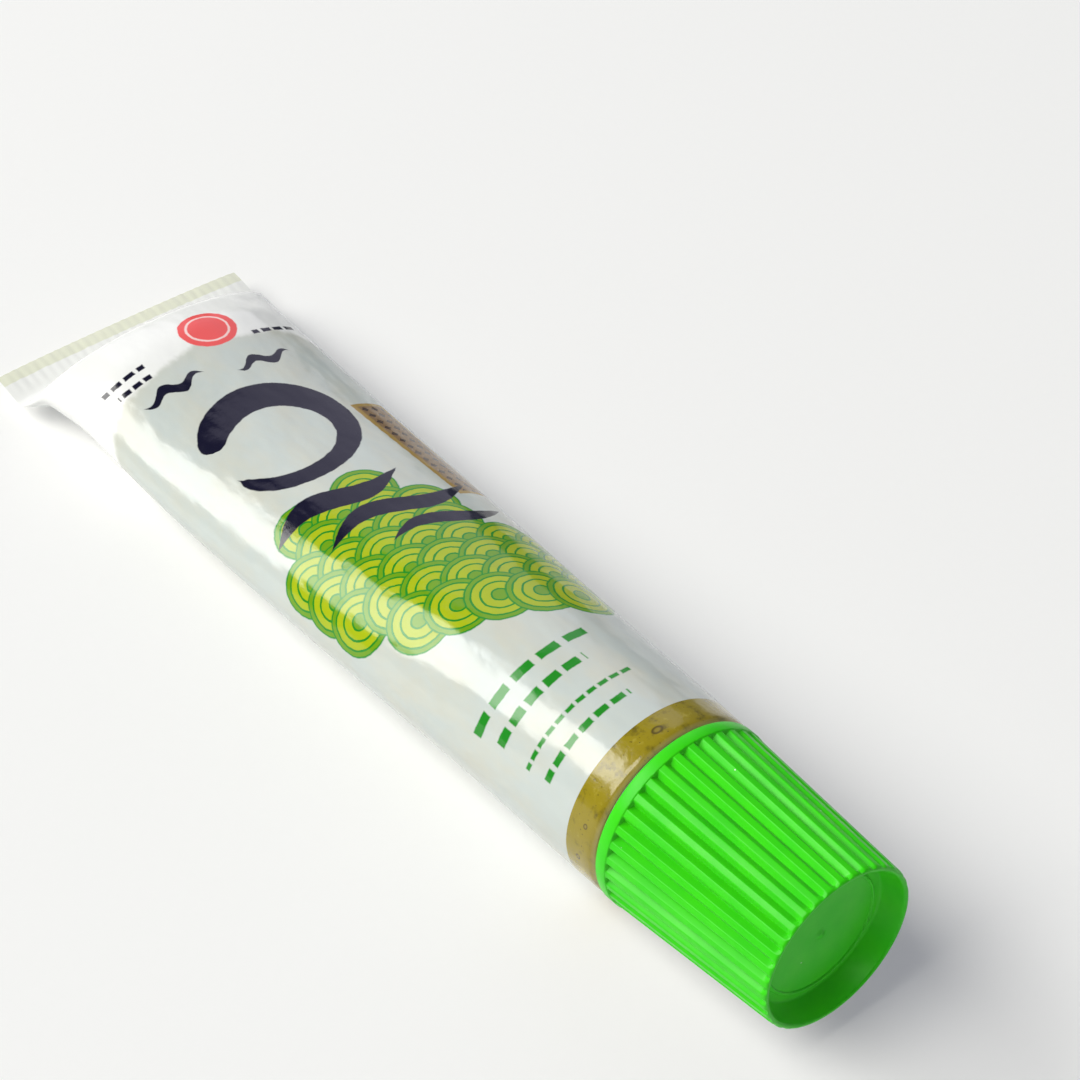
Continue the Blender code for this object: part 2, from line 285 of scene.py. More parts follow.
class TubeHeadSettings(bpy.types.PropertyGroup):
    neck_radius: length("Neck radius", 6.0, "Radius under the thread")
    neck_bore: length("Neck bore", 4.6, "Bore of the neck")
    nozzle_tip: length("Nozzle tip", 3.3, "Radius of the nozzle's tip")
    pitch: length("Pitch", 3.0, "Advance of the thread in one turn")
    thread_height: length("Thread height", 0.8, "How far the thread stands out")
    thread_start: length("Thread start", 4.2, "From the rim to the thread's first point")
    thread_turns: amount("Turns", 2.0, "Turns of the thread", min=0.5, max=4.0)
    natural: colour("Natural polymer", "#E6E6DC", "Milky unpigmented polyethylene")


class TubeCapSettings(bpy.types.PropertyGroup):
    length: length("Length", 25.0, "From rim to lip")
    rim_radius: length("Rim radius", 11.96, "Radius at the wide end")
    lip_radius: length("Lip radius", 10.28, "Radius at the lip")
    collar: length("Collar", 1.6, "Smooth band at the rim")
    rib_front: length("Rib end", 24.5, "From the rim to where the ribs run out")
    rib_depth: length("Rib depth", 0.82, "Depth of the grooves between ribs")
    rib_count: bpy.props.IntProperty(
        name="Ribs", description="Number of grip ribs", default=36, min=12, max=72
    )
    crest: amount("Crest", 0.4, "Share of a rib that is flat on top", min=0, max=0.8)
    green: colour("Green", "#38D804", "Bright green polypropylene")


class TubeStageSettings(bpy.types.PropertyGroup):
    azimuth: bearing("Azimuth", 48.745, "Camera's turn about the upright axis, from the -Y side towards +X")
    elevation: bearing("Elevation", 45.109, "Camera's height above the horizon")
    roll: bearing("Roll", 3.391, "Camera's turn about its own line of sight")
    distance: length("Distance", 312.0, "From the camera to its target")
    lens: amount("Lens", 86.667, "Focal length", unit="CAMERA")
    table: colour("Table", "#EBEBEB", "Pale opal table")
    glow: amount("Glow", 0.12, "Strength of the light through the table", min=0)
    key_power: amount("Key", 47.0, "Power of the soft box on the left", unit="POWER")
    panel_power: amount("Panel", 14.0, "Power of the wide panel behind the tail", unit="POWER")
    side_power: amount("Side", 63.0, "Power of the high soft box at the near side", unit="POWER")
    ambient: amount("Ambient", 0.19, "Strength of the room's even light", min=0)


MATH = "ShaderNodeMath"
VECTOR = "ShaderNodeVectorMath"
NOISE = "ShaderNodeTexNoise"
VORONOI = "ShaderNodeTexVoronoi"
MAP_RANGE = "ShaderNodeMapRange"
RAMP = "ShaderNodeValToRGB"
CURVE = "ShaderNodeFloatCurve"
COMBINE = "ShaderNodeCombineXYZ"
SEPARATE = "ShaderNodeSeparateXYZ"
NODE_SPACING = 200


def add(tree, kind, inputs=(), operation="", output=0, stops=(), **settings):
    """Adds a node with its settings, its ramp's or curve's stops, and values or links for its inputs."""
    node = tree.nodes.new(kind)
    node.location.x = NODE_SPACING * len(tree.nodes)
    if operation:
        node.operation = operation
    for name, value in settings.items():
        setattr(node, name, value)
    for i, (place, value) in enumerate(stops):
        if kind == RAMP:
            elements = node.color_ramp.elements
            stop = elements[i] if i < len(elements) else elements.new(place)
            stop.position, stop.color = place, value
        else:
            points = node.mapping.curves[0].points
            stop = points[i] if i < len(points) else points.new(place, value)
            stop.location = (place, value)
            node.mapping.update()
    for key, value in inputs.items() if isinstance(inputs, dict) else enumerate(inputs):
        if isinstance(value, bpy.types.NodeSocket):
            tree.links.new(value, node.inputs[key])
        elif value is not None:
            node.inputs[key].default_value = value
    return node.outputs[output]


def new_material(name, **constants):
    """A material and its tree. Values that are even all over are set on its shader's own sockets."""
    material = bpy.data.materials.new(name)
    material.use_nodes = True
    shader = material.node_tree.nodes["Principled BSDF"]
    for key, value in constants.items():
        shader.inputs[key.replace("_", " ").title().replace("Ior", "IOR")].default_value = value
    return material, material.node_tree


def dressed(material, surface, height=None, strength=0.0, depth=0.0, rough=None):
    """The material with its colour, its relief of a depth in metres and its uneven gloss linked in."""
    tree, sources = material.node_tree, {"Base Color": surface, "Roughness": rough}
    if height is not None:
        inputs = {"Strength": strength, "Distance": depth, "Height": height}
        sources["Normal"] = add(tree, "ShaderNodeBump", inputs)
    for socket, source in sources.items():
        if source is not None:
            tree.links.new(source, tree.nodes["Principled BSDF"].inputs[socket])
    return material


def piece_place(tree, per_metre=(1 / MM,) * 3):
    """Where a point lies on its own piece, in millimetres unless it is scaled another way."""
    here = add(tree, "ShaderNodeTexCoord", output="Object")
    return add(tree, VECTOR, (here, per_metre), "MULTIPLY")


def overprint(tree, surface, *layers):
    """Lays (coverage, colour) layers over a surface in order, each where its coverage is 1."""
    for coverage, tint in layers:
        inputs = {0: coverage, 6: surface, 7: tint}
        surface = add(tree, "ShaderNodeMix", inputs, output=2, data_type="RGBA")
    return surface


def ink(tree, distance, edge=INK_EDGE):
    """Coverage from 0 to 1 of a motif, from the signed distance to its outline."""
    return add(tree, MATH, (distance, -1 / edge, 0.5), "MULTIPLY_ADD", use_clamp=True)


def either(tree, *covers):
    """The coverage of several motifs together."""
    total = covers[0]
    for cover in covers[1:]:
        total = add(tree, MATH, (total, cover), "MAXIMUM")
    return total


def away(tree, value, middle, half):
    """The signed distance of a value from a band about its middle."""
    offset = add(tree, MATH, (value, middle), "SUBTRACT")
    size = add(tree, MATH, (offset,), "ABSOLUTE")
    return add(tree, MATH, (size, half), "SUBTRACT")


def oval_share(tree, point, oval):
    """How far a point is from an oval's middle, as a share of the way to its outline."""
    u, v, wide, tall = oval
    offset = add(tree, VECTOR, (point, (u, v, 0.0)), "SUBTRACT")
    scaled = add(tree, VECTOR, (offset, (1 / wide, 1 / tall, 0.0)), "MULTIPLY")
    return add(tree, VECTOR, (scaled,), "LENGTH", "Value")


def specks(tree, place, scale, radius, edge, share):
    """Coverage of round specks, one in the middle of some of a pattern's cells."""
    cells = add(tree, VORONOI, {"Vector": place, "Scale": scale})
    spot = ink(tree, add(tree, MATH, (cells, radius), "SUBTRACT"), edge)
    draw = add(tree, SEPARATE, (cells.node.outputs["Color"],))
    chosen = add(tree, MATH, (draw, 1 - share), "GREATER_THAN")
    return add(tree, MATH, (spot, chosen), "MULTIPLY")


def dashes(tree, across, along, row):
    """A straight row of short dashes with a blank between each two."""
    middle, from_tail, half_length, half_height, dash = row
    ends = away(tree, across, middle, half_length)
    sides = away(tree, along, from_tail, half_height)
    line = add(tree, MATH, (ends, sides), "MAXIMUM")
    phase = add(tree, MATH, (across, dash * DASH_SPACING), "PINGPONG")
    gaps = add(tree, MATH, (dash * DASH_GAP, phase), "SUBTRACT")
    return ink(tree, add(tree, MATH, (line, gaps), "MAXIMUM"))


def wave_stroke(tree, across, along, stroke):
    """A bold stroke that follows a wave and tapers to both ends."""
    middle, from_tail, half_length, rise, wavelength, half_width = stroke
    shifted = add(tree, MATH, (across, -middle), "ADD")
    phase = add(tree, MATH, (shifted, 2 * math.pi / wavelength), "MULTIPLY")
    swing = add(tree, MATH, (phase,), "SINE")
    height = add(tree, MATH, (swing, rise, from_tail), "MULTIPLY_ADD")
    offset = add(tree, MATH, (along, height), "SUBTRACT")
    reach = add(tree, MATH, (shifted, 1 / half_length), "MULTIPLY")
    share = add(tree, MATH, (reach, reach), "MULTIPLY")
    width = add(tree, MATH, (share, -half_width, half_width), "MULTIPLY_ADD")
    size = add(tree, MATH, (offset,), "ABSOLUTE")
    return ink(tree, add(tree, MATH, (size, width), "SUBTRACT"))


def circle_stroke(tree, place, across, along):
    """A brushed circle that starts full, thins as it goes round and stays open."""
    (u, v), start = CIRCLE_STROKE["centre"], math.radians(CIRCLE_STROKE["start"])
    reach = add(tree, VECTOR, (place, (u, v, 0.0)), "DISTANCE", "Value")
    ring = away(tree, reach, CIRCLE_STROKE["radius"], 0.0)
    du = add(tree, MATH, (across, u), "SUBTRACT")
    dv = add(tree, MATH, (along, v), "SUBTRACT")
    angle = add(tree, MATH, (dv, du), "ARCTAN2")
    turn = add(tree, MATH, (angle, start), "SUBTRACT")
    turns = add(tree, MATH, (turn, 1 / (2 * math.pi)), "MULTIPLY")
    share = add(tree, MATH, (turns,), "FRACT")
    width = add(tree, CURVE, {"Value": share}, stops=CIRCLE_STROKE["thinning"])
    half = add(tree, MATH, (width, CIRCLE_STROKE["width"], -0.1), "MULTIPLY_ADD")
    return ink(tree, add(tree, MATH, (ring, half), "SUBTRACT"))


def scale_field(tree, across, along, base, sleeve):
    """Overlapping ringed scales in staggered rows, a traditional wave pattern, kept whole in two ovals."""
    tints = {"lime": sleeve.lime, "olive": sleeve.olive, "green": sleeve.green}
    stops = [(place, tints[name]) for place, name in SCALE_RINGS]
    row_gap, pitch = SCALE_RADIUS / 2, 2 * SCALE_RADIUS
    rows_up = add(tree, MATH, (along, 1 / row_gap, 0.5), "MULTIPLY_ADD")
    nearest = add(tree, MATH, (rows_up,), "FLOOR")
    point = add(tree, COMBINE, (across, along, 0.0))
    surface = base
    # Each scale reaches two rows to either side, and later rows lie on top
    for step in (-2, -1, 0, 1, 2):
        row = add(tree, MATH, (nearest, step), "ADD")
        cv = add(tree, MATH, (row, row_gap), "MULTIPLY")
        stagger = add(tree, MATH, (row, 2.0), "FLOORED_MODULO")
        shift = add(tree, MATH, (stagger, SCALE_RADIUS), "MULTIPLY")
        shifted = add(tree, MATH, (across, shift), "SUBTRACT")
        pitches = add(tree, MATH, (shifted, 1 / pitch, 0.5), "MULTIPLY_ADD")
        cell = add(tree, MATH, (pitches,), "FLOOR")
        cu = add(tree, MATH, (cell, pitch, shift), "MULTIPLY_ADD")
        centre = add(tree, COMBINE, (cu, cv, 0.0))
        reach = add(tree, VECTOR, (point, centre), "DISTANCE", "Value")
        shares = [oval_share(tree, centre, oval) for oval in SCALE_FIELD]
        kept = either(tree, *(add(tree, MATH, (share, 1.0), "LESS_THAN") for share in shares))
        share = add(tree, MATH, (reach, 1 / SCALE_RADIUS), "MULTIPLY")
        rings = add(tree, RAMP, (share,), stops=stops)
        rings.node.color_ramp.interpolation = "CONSTANT"
        disc = ink(tree, add(tree, MATH, (reach, SCALE_RADIUS - INK_EDGE / 2), "SUBTRACT"))
        surface = overprint(tree, surface, (add(tree, MATH, (disc, kept), "MULTIPLY"), rings))
    return surface


def side_tag(tree, place, across, along, sleeve):
    """The gold tag at the side and its dark ground with a lattice of studs, as overprint layers."""
    (u, v), wide, tall = GOLD_TAG
    sides = away(tree, across, u, wide)
    ends = away(tree, along, v, tall)
    tag = add(tree, MATH, (sides, ends), "MAXIMUM")
    inner = add(tree, MATH, (tag, TAG_BORDER), "ADD")
    pattern = {"Vector": place, "Scale": 0.62, "Randomness": 0.0}
    lattice = add(tree, VORONOI, pattern, distance="MANHATTAN", voronoi_dimensions="2D")
    studs = add(tree, MATH, (lattice, 0.34), "LESS_THAN")
    ground = overprint(tree, srgb("#8A6E4A"), (studs, srgb("#4A3526")))
    return (ink(tree, tag), sleeve.gold), (ink(tree, inner), ground)


def round_mark(tree, place, sleeve):
    """The red dot at the tail and the pale ring in it, as overprint layers."""
    (u, v), radius = RED_DOT
    reach = add(tree, VECTOR, (place, (u, v, 0.0)), "DISTANCE", "Value")
    dot = ink(tree, add(tree, MATH, (reach, radius), "SUBTRACT"))
    halo = ink(tree, away(tree, reach, radius - 1.1, 0.16))
    return (dot, sleeve.red), (halo, srgb("#FBD9D6"))


def printed_laminate(sleeve):
    """Gravure-printed polyethylene laminate: white lacquer with inks, under a smooth clear skin.

    The clear skin gives long, nearly sharp reflections; the paste behind the white greys it in patches.
    """
    material, tree = new_material("printed polyethylene laminate", roughness=0.15, ior=1.5)
    place = add(tree, "ShaderNodeUVMap", uv_map="Film")
    # Ink spreads about a tenth of a millimetre at the edges
    feather = add(tree, NOISE, {"Vector": place, "Scale": 0.9, "Detail": 3.0}, output=1)
    spread = add(tree, VECTOR, (feather, (0.5, 0.5, 0.5)), "SUBTRACT")
    moved = add(tree, VECTOR, (spread, (0.3, 0.3, 0.0), place), "MULTIPLY_ADD")
    across, along = add(tree, SEPARATE, (moved,)).node.outputs[:2]

    # Paste clings to the film in patches of 5 to 10 mm, drawn out lengthwise, with mottling of 1 mm
    drawn_out = add(tree, VECTOR, (place, (1.0, 0.45, 1.0)), "MULTIPLY")
    pattern = {"Vector": drawn_out, "Scale": 0.17, "Detail": 4.0, "Roughness": 0.6}
    patches = add(tree, NOISE, pattern)
    mottle = add(tree, NOISE, {"Vector": drawn_out, "Scale": 0.9, "Detail": 3.0})
    cling = add(tree, MAP_RANGE, (patches, 0.42, 0.66, 0.0, 0.75))
    cling = add(tree, MATH, (cling, -0.12), "ADD")
    cling = add(tree, MATH, (mottle, 0.3, cling), "MULTIPLY_ADD", use_clamp=True)

    # The paste's edge behind the film is rounded and a little ragged
    bow = add(tree, MATH, (across, across), "MULTIPLY")
    edge = add(tree, MATH, (bow, -0.017, along), "MULTIPLY_ADD")
    ragged = add(tree, MATH, (patches, 5.0, edge), "MULTIPLY_ADD")
    paste_from = sleeve.headspace / MM + 3.0
    span = (ragged, paste_from - 0.5, paste_from + 0.9, 0.0, 1.0)
    has_paste = add(tree, MAP_RANGE, span, interpolation_type="SMOOTHSTEP")
    brim = add(tree, MAP_RANGE, (ragged, paste_from + 3.0, paste_from - 0.2, 0.0, 0.55))
    filled = overprint(tree, sleeve.filled_white, (cling, sleeve.stain), (brim, sleeve.stain))

    bare = ink(tree, add(tree, MATH, (along, sleeve.bare_strip / MM), "SUBTRACT"))
    # The sheet is lapped and welded down the back, and the weld is left unprinted
    from_front = add(tree, MATH, (across,), "ABSOLUTE")
    weld = ink(tree, away(tree, from_front, math.pi * sleeve.radius / MM, LAP_HALF_WIDTH))
    white = overprint(tree, sleeve.white, (has_paste, filled), (bare, sleeve.bare), (weld, sleeve.bare))

    rules = either(tree, *(dashes(tree, across, along, row) for row in RULES))
    strokes = [circle_stroke(tree, moved, across, along)]
    strokes += [wave_stroke(tree, across, along, stroke) for stroke in WAVE_STROKES]
    strokes += [dashes(tree, across, along, row) for row in SMALL_MARKS]
    surface = overprint(
        tree,
        scale_field(tree, across, along, white, sleeve),
        (rules, sleeve.green),
        *side_tag(tree, moved, across, along, sleeve),
        *round_mark(tree, moved, sleeve),
        (either(tree, *strokes), sleeve.navy),
    )

    # The film is drawn tight lengthwise, with shallow buckles 4 to 8 mm apart and a faint orange peel
    buckles = add(tree, NOISE, {"Vector": drawn_out, "Scale": 0.22, "Detail": 2.0})
    peel = add(tree, NOISE, {"Vector": place, "Scale": 1.6, "Detail": 2.0})
    relief = add(tree, MATH, (peel, 0.035, buckles), "MULTIPLY_ADD")
    relief = add(tree, MATH, (weld, 0.12, relief), "MULTIPLY_ADD")
    rough = add(tree, MAP_RANGE, (mottle, 0.3, 0.7, 0.11, 0.18))
    return dressed(material, surface, relief, 0.75, 0.0004, rough)


def paste_colour(tree, place, paste):
    """Grated root: ochre pulp, darker and paler shreds about a millimetre long, and fine dark grit."""
    pattern = {"Vector": place, "Scale": SHRED_SCALE * 0.45, "Detail": 6.0, "Roughness": 0.62}
    pulp = add(tree, NOISE, pattern)
    stops = ((0.3, paste.dark), (0.46, paste.ochre), (0.6, paste.ochre), (0.74, paste.light))
    surface = add(tree, RAMP, (pulp,), stops=stops)
    grit = specks(tree, place, SHRED_SCALE * 1.5, 0.16, 0.1, 0.28)
    return overprint(tree, surface, (grit, paste.dark)), pulp


def paste_behind_film(paste):
    """Moist grated paste pressed against clear polyethylene.

    The film's skin is glossy, and the pulp below it is dull.
    """
    constants = {"roughness": 0.16, "ior": 1.5, "coat_weight": 0.35, "coat_roughness": 0.06}
    material, tree = new_material("paste behind clear polyethylene", **constants)
    place = add(tree, "ShaderNodeUVMap", uv_map="Film")
    surface, pulp = paste_colour(tree, place, paste)
    for bubble in BUBBLES:
        # Painted shade darkens each bubble's hollow, and a painted highlight pales its middle
        reach = oval_share(tree, place, bubble)
        bubble_painted_shade = ink(tree, add(tree, MATH, (reach, 1.0), "SUBTRACT"), 0.25)
        bubble_painted_highlight = ink(tree, add(tree, MATH, (reach, 0.55), "SUBTRACT"), 0.4)
        surface = overprint(tree, surface, (bubble_painted_shade, srgb("#584A0E")), (bubble_painted_highlight, srgb("#8F7F2C")))
    # Light caught in the clear front edge pales the last half millimetre
    along = add(tree, SEPARATE, (place,), output=1)
    clear_edge = add(tree, MAP_RANGE, (along, *EDGE_GLOW, 0.0, 0.3))
    surface = overprint(tree, surface, (clear_edge, srgb("#D8D2A4")))
    return dressed(material, surface, pulp, 0.25, 0.0003)


def grated_paste(paste):
    """Wasabi paste, grated and bound with oil: moist, so it shines on a rough, grainy body."""
    material, tree = new_material("grated wasabi paste", roughness=0.38, ior=1.42)
    surface, pulp = paste_colour(tree, piece_place(tree), paste)
    return dressed(material, surface, pulp, 0.6, 0.0003)


def moulded_plastic(name, tint, shade, **constants):
    """Injection-moulded polyolefin: even colour, flow marks of a few millimetres and a fine mould grain."""
    material, tree = new_material(name, **constants)
    place = piece_place(tree)
    flow = add(tree, NOISE, {"Vector": place, "Scale": 0.25, "Detail": 3.0})
    marks = add(tree, MAP_RANGE, (flow, 0.35, 0.65, 0.0, 1.0))
    # Dust of about 0.1 mm, on one cell in twenty-five
    dust = specks(tree, place, 0.9, 0.07, 0.03, 0.04)
    surface = overprint(tree, tint, (marks, shade), (dust, srgb("#E8EEE4")))
    grain = add(tree, NOISE, {"Vector": place, "Scale": 4.0, "Detail": 2.0})
    even = constants["roughness"]
    rough = add(tree, MAP_RANGE, (flow, 0.3, 0.7, even - 0.05, even + 0.05))
    return dressed(material, surface, grain, 0.12, 0.00005, rough)


def rolled_foil():
    """Rolled aluminium foil: bright metal, streaked one way by the rolls at about 0.1 mm."""
    constants = {"base_color": srgb("#D9DADC"), "metallic": 1.0, "roughness": 0.3}
    material, tree = new_material("rolled aluminium foil", **constants)
    place = piece_place(tree, (600.0, 8000.0, 600.0))
    streaks = add(tree, NOISE, {"Vector": place, "Scale": 1.0, "Detail": 2.0})
    rough = add(tree, MAP_RANGE, (streaks, 0.3, 0.7, 0.22, 0.4))
    return dressed(material, None, streaks, 0.2, 0.00003, rough)


def foamed_liner():
    """Foamed polyethylene: matt white with closed cells of about 0.2 mm."""
    material, tree = new_material("foamed polyethylene", roughness=0.7, ior=1.5)
    cells = add(tree, VORONOI, {"Vector": piece_place(tree), "Scale": 4.5})
    stops = ((0.1, srgb("#D9D9D2")), (0.5, srgb("#F1F1EC")))
    surface = add(tree, RAMP, (cells,), stops=stops)
    return dressed(material, surface, cells, 0.4, 0.0001)


def opal_table(stage):
    """Matt opal acrylic, lit faintly from below, with a tooth so fine that only a trace of it shows."""
    constants = {"roughness": 0.9, "specular_ior_level": 0.1}
    constants |= {"emission_color": srgb("#FFFFFF"), "emission_strength": stage.glow}
    material, tree = new_material("matt opal acrylic", **constants)
    tooth = add(tree, NOISE, {"Vector": piece_place(tree), "Scale": 0.8, "Detail": 3.0})
    darker = (*(0.985 * channel for channel in stage.table[:3]), 1.0)
    return dressed(material, overprint(tree, stage.table, (tooth, darker)))


def interpolate(knots, at):
    """A smooth curve through (position, value) knots, by cubic Hermite pieces that never overshoot."""
    slopes = [(b[1] - a[1]) / (b[0] - a[0]) for a, b in zip(knots, knots[1:])]
    tangents = [slopes[0]]
    for before, after in zip(slopes, slopes[1:]):
        rising = before * after > 0
        tangents.append(2 * before * after / (before + after) if rising else 0.0)
    tangents.append(slopes[-1])
    piece = next((i for i, end in enumerate(knots[1:]) if at <= end[0]), len(slopes) - 1)
    start, end = knots[piece], knots[piece + 1]
    span = end[0] - start[0]
    t = min(max((at - start[0]) / span, 0.0), 1.0)
    return (
        (1 + 2 * t) * (1 - t) ** 2 * start[1]
        + t * (1 - t) ** 2 * span * tangents[piece]
        + t * t * (3 - 2 * t) * end[1]
        - t * t * (1 - t) * span * tangents[piece + 1]
    )


def smooth_step(t):
    """0 before 0, 1 after 1, and an S curve between."""
    t = min(max(t, 0.0), 1.0)
    return t * t * (3 - 2 * t)


def ellipse_perimeter(a, b):
    """Ramanujan's close sum for the way round an ellipse."""
    h = ((a - b) / (a + b)) ** 2
    return math.pi * (a + b) * (1 + 3 * h / (10 + math.sqrt(4 - 3 * h)))


def half_width(half_thickness, radius):
    """Half the width of a sleeve that keeps its round perimeter when it is pressed that thin."""
    low, high = half_thickness, math.pi / 2 * radius + 1
    for _ in range(40):
        middle = (low + high) / 2
        if ellipse_perimeter(middle, half_thickness) < 2 * math.pi * radius:
            low = middle
        else:
            high = middle
    return low


def sleeve_section(sleeve, x):
    """(half width, half thickness, centre height) of the sleeve at x, in millimetres."""
    radius, from_tail = sleeve.radius / MM, sleeve.length / MM + x
    thick = interpolate(SLEEVE_KNOTS, from_tail)
    underside = -radius - x * math.tan(LEAN)
    rise = TAIL_RISE * (1 - smooth_step(from_tail / TAIL_BLEND))
    return half_width(thick, radius), thick, underside + thick + rise


def even_ellipse(wide, tall, count):
    """Points at even spacing round an ellipse, from its lowest point towards +Y, and its length."""
    angles = np.linspace(-np.pi / 2, 1.5 * np.pi, 2049)
    y, z = wide * np.cos(angles), tall * np.sin(angles)
    run = np.concatenate(([0.0], np.cumsum(np.hypot(np.diff(y), np.diff(z)))))
    at = np.interp(np.arange(count) / count * run[-1], run, angles)
    return np.stack((wide * np.cos(at), tall * np.sin(at)), axis=1), run[-1]


def film_dent(x, y, z, from_tail):
    """How far the film is drawn in at a point: shallow buckles, none at the seal or near the cap."""
    rise = smooth_step((from_tail - DENT_RISE[0]) / DENT_RISE[1])
    fall = smooth_step((DENT_FALL[0] - from_tail) / DENT_FALL[1])
    fade = rise * fall
    wave = noise.noise(Vector((x / DENT_ALONG, y / DENT_ROUND, z / DENT_ROUND)))
    return DENT_DEPTH * fade * (0.5 + 0.5 * wave)


def sleeve_skin(sleeve):
    """Vertices, faces, UVs in millimetres and material indices of the sleeve's closed shell."""
    tail, wall = -sleeve.length / MM, sleeve.wall / MM
    seal, window = sleeve.seal / MM, -sleeve.clear_band / MM
    steps = round((window - tail) / SLEEVE_STEP)
    outside = [tail + (window - tail) * i / steps for i in range(steps + 1)]
    outside += [window + (FRONT_ROLL[-1][0] - window) * i / 4 for i in range(1, 4)]
    outside += [x for x, _ in reversed(FRONT_ROLL)]
    inside = [FRONT_EDGE - 0.02] + [FRONT_EDGE - INSIDE_STEP * i for i in range(1, INSIDE_RINGS + 1)]
    turned_in = dict(FRONT_ROLL)
    points, rings = [], []
    for x in outside + inside:
        inner = len(rings) >= len(outside)
        wide, tall, centre = sleeve_section(sleeve, x)
        inset = wall + INSIDE_GAP if inner else turned_in.get(x, 0.0)
        oval, run = even_ellipse(wide - inset, tall - inset, SLEEVE_COLUMNS)
        from_tail = x - tail
        pressed = smooth_step((seal - SEAL_RIB_STOP - from_tail) / SEAL_RIB_FADE)
        ridge = SEAL_RIB_DEPTH * pressed * (0 if inner else 1)
        for i, (y, z) in enumerate(oval):
            across = run * (0.5 - i / SLEEVE_COLUMNS)
            dent = 0.0 if inner else film_dent(x, y, z, from_tail) / math.hypot(y, z)
            groove = ridge * (0.5 + 0.5 * math.cos(2 * math.pi * across / SEAL_RIB_PITCH))
            lift = centre + z * (1 - dent) - math.copysign(groove, z)
            points.append((x, y * (1 - dent), lift))
        rings.append((x, run))
    faces, uvs, indices = [], [], []
    count = SLEEVE_COLUMNS
    for ring, ((x, run), (next_x, next_run)) in enumerate(zip(rings, rings[1:])):
        clear = min(x, next_x) > window - 0.01
        faces += band(ring, ring + 1, count)
        indices += [int(clear)] * count
        for i in range(count):
            left, right = 0.5 - i / count, 0.5 - (i + 1) / count
            uvs += [(run * left, x - tail), (run * right, x - tail)]
            uvs += [(next_run * right, next_x - tail), (next_run * left, next_x - tail)]
    for ring in (0, len(rings) - 1):
        x = rings[ring][0]
        for i in range(-count // 4, count // 4):
            corners = [i % count, (i + 1) % count, (count // 2 - i - 1) % count, (count // 2 - i) % count]
            corners = list(dict.fromkeys(corners))
            faces.append([ring * count + c for c in corners])
            uvs += [(points[ring * count + c][1], x - tail) for c in corners]
            indices.append(0)
    return points, faces, uvs, indices


def band(ring, following, count):
    """The faces between two closed rings of points that are numbered ring by ring."""
    near, far = ring * count, following * count
    nexts = [(i + 1) % count for i in range(count)]
    return [(near + i, near + j, far + j, far + i) for i, j in enumerate(nexts)]


def mesh_from(name, points, faces):
    """A mesh of these points and faces."""
    mesh = bpy.data.meshes.new(name)
    mesh.from_pydata([tuple(p) for p in points], [], faces)
    mesh.update()
    return mesh


def face_outwards(mesh):
    """Points a closed mesh's faces outwards."""
    bm = bmesh.new()
    bm.from_mesh(mesh)
    bmesh.ops.recalc_face_normals(bm, faces=bm.faces)
    bm.to_mesh(mesh)
    bm.free()


def smooth(mesh, sharp_degrees=SMOOTH_ANGLE):
    """Shades a mesh smooth, apart from edges sharper than an angle."""
    mesh.shade_smooth()
    mesh.set_sharp_from_angle(angle=math.radians(sharp_degrees))


def placed(name, data):
    """A new object in the scene's own collection."""
    thing = bpy.data.objects.new(name, data)
    bpy.context.scene.collection.objects.link(thing)
    return thing


def settle(name, mesh, body, replaced):
    """One finished piece: its mesh in the row frame, riding on a body and standing for a CAD node."""
    mesh.transform(TUBE_FRAME)
    piece = placed(name, mesh)
    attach(piece, body)
    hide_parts(replaced)
    return piece


def grown(name, seed_mesh, tree, values):
    """The plain mesh that a Geometry Nodes tree makes from a seed mesh. Inputs are given by name."""
    seed = placed(name, seed_mesh)
    modifier = seed.modifiers.new(tree.name, "NODES")
    modifier.node_group = tree
    for item in tree.interface.items_tree:
        if item.in_out == "INPUT" and item.name in values:
            modifier[item.identifier] = values[item.name]
    graph = bpy.context.evaluated_depsgraph_get()
    mesh = bpy.data.meshes.new_from_object(seed.evaluated_get(graph))
    seed.modifiers.remove(modifier)
    bpy.data.objects.remove(seed)
    return mesh


def new_tree(name, sockets):
    """An empty Geometry Nodes tree with its group input, group output and named sockets."""
    tree = bpy.data.node_groups.new(name, "GeometryNodeTree")
    tree.interface.new_socket("Geometry", in_out="INPUT", socket_type="NodeSocketGeometry")
    tree.interface.new_socket("Geometry", in_out="OUTPUT", socket_type="NodeSocketGeometry")
    for label, kind in sockets:
        tree.interface.new_socket(label, in_out="INPUT", socket_type="NodeSocket" + kind)
    given = tree.nodes.new("NodeGroupInput")
    return tree, given.outputs


def end_tree(tree, geometry, finish):
    """Makes instances real, gives them their finish and ends the tree."""
    real = add(tree, "GeometryNodeRealizeInstances", (geometry,))
    done = add(tree, "GeometryNodeSetMaterial", {"Geometry": real, "Material": finish})
    result = tree.nodes.new("NodeGroupOutput")
    result.location.x = NODE_SPACING * len(tree.nodes)
    tree.links.new(done, result.inputs[0])
    return tree


def rib_ring_tree():
    """Copies one rib's sector round the axis and welds the copies into one skin."""
    tree, given = new_tree("Rib ring", (("Ribs", "Int"), ("Weld", "Float"), ("Finish", "Material")))
    points = add(tree, "GeometryNodePoints", (given["Ribs"],))
    number = add(tree, "GeometryNodeInputIndex")
    share = add(tree, MATH, (number, given["Ribs"]), "DIVIDE")
    angle = add(tree, MATH, (share, 2 * math.pi), "MULTIPLY")
    turn = add(tree, COMBINE, (angle, 0.0, 0.0))
    copies = add(
        tree,
        "GeometryNodeInstanceOnPoints",
        {"Points": points, "Instance": given["Geometry"], "Rotation": turn},
    )
    whole = add(tree, "GeometryNodeRealizeInstances", (copies,))
    welded = add(tree, "GeometryNodeMergeByDistance", {"Geometry": whole, "Distance": given["Weld"]})
    return end_tree(tree, welded, given["Finish"])


